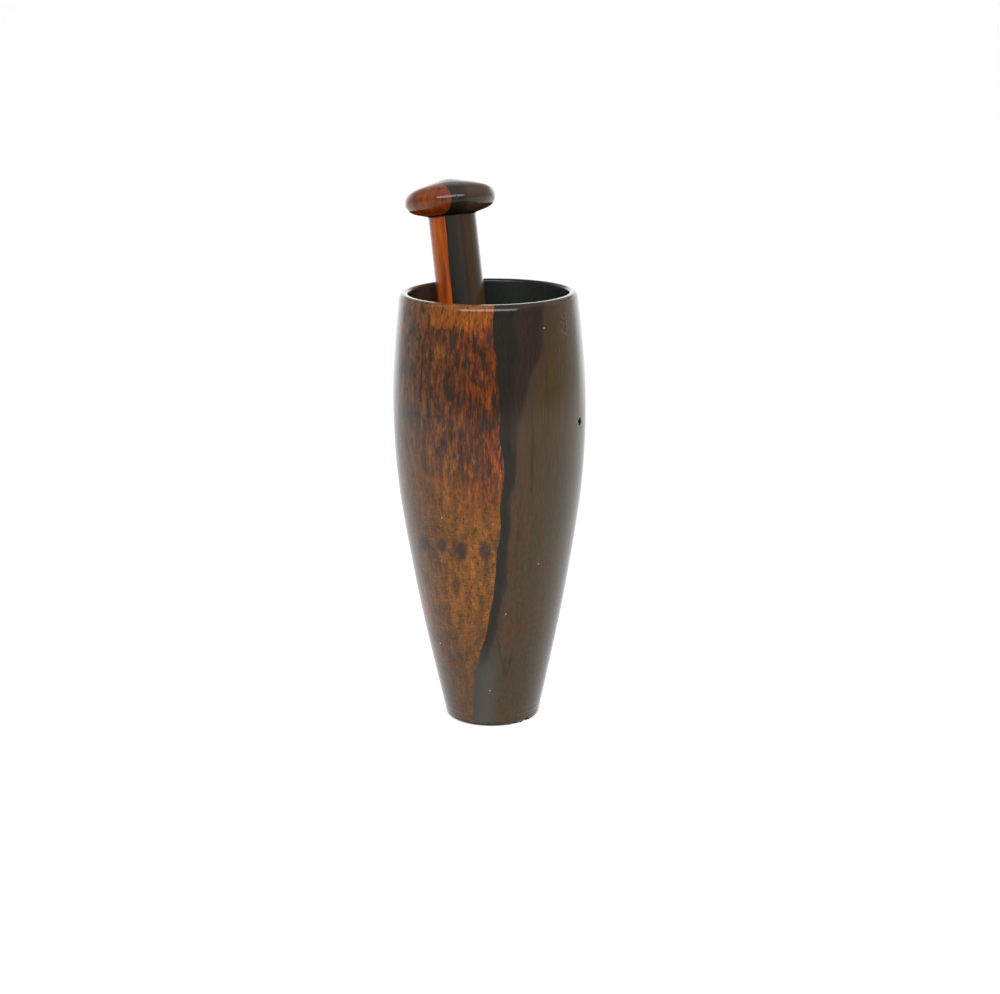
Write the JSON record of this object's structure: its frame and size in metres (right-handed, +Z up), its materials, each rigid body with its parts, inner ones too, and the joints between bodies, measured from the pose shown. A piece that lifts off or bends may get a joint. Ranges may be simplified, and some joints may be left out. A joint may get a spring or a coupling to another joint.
{
  "type": "dip pen holder",
  "caption": "Tall turned wooden cup that bellies out below its lip, holding a dip pen with a mushroom knob that leans against the back of the mouth.",
  "frame": {"origin": "centre of the foot's flat face, on the cup's own axis", "axes": "+Z up along the cup's axis; -Y is the front; the pen leans towards -X and +Y"},
  "size_m": [0.0484, 0.0501, 0.1364],
  "materials": {
    "two_tone_wood": "glossy hand-polished hardwood, red-brown on one side of the blank and near-black on the other",
    "brass": "drawn tube, lightly aged",
    "spring_steel": "bright spring sheet",
    "nib_steel": "blued and wiped steel sheet, bronzed by tempering"
  },
  "bodies": {
    "cup": {"cup": "two_tone_wood"},
    "pen": {"pen_knob": "two_tone_wood", "pen_shaft": "two_tone_wood", "ferrule": "brass", "nib_clip": "spring_steel", "nib": "nib_steel"}
  },
  "joints": [
    {"name": "pen_lift", "type": "slide", "parent": "cup", "child": "pen", "axis": [-0.1008, 0.1419, 0.9847], "range_m": [0, 0.108]}
  ]
}
